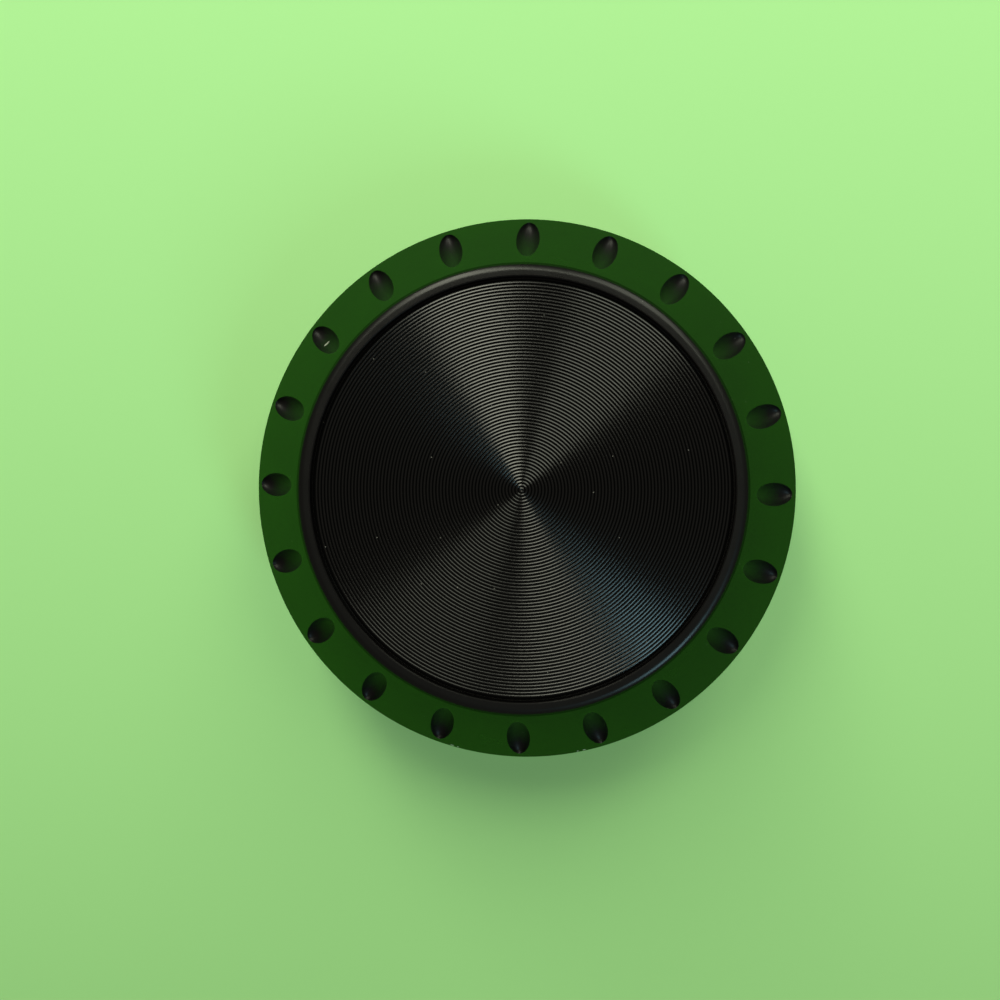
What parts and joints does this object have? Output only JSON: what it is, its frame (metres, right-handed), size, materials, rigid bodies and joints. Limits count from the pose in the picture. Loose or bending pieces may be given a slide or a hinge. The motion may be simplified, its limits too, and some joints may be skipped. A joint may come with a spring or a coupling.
{
  "type": "rotary knob",
  "caption": "Large round black push-on control knob: conical rim with oval finger dimples, raised collar and a recessed face disc with fine concentric ridges.",
  "frame": {"origin": "centre of the hub's open end, where the shaft comes in", "axes": "+Z along the knob's axis towards its face, +Y through one finger dimple"},
  "size_m": [0.073, 0.073, 0.0278],
  "materials": {
    "body_plastic": "satin black moulded plastic with a fine even grain",
    "disc_metal": "turned aluminium, dyed black, with fine concentric ridges",
    "ring_steel": "bright spring wire"
  },
  "bodies": {
    "root": {"knob_body": "body_plastic", "face_disc": "disc_metal", "spring_ring": "ring_steel"}
  },
  "joints": []
}
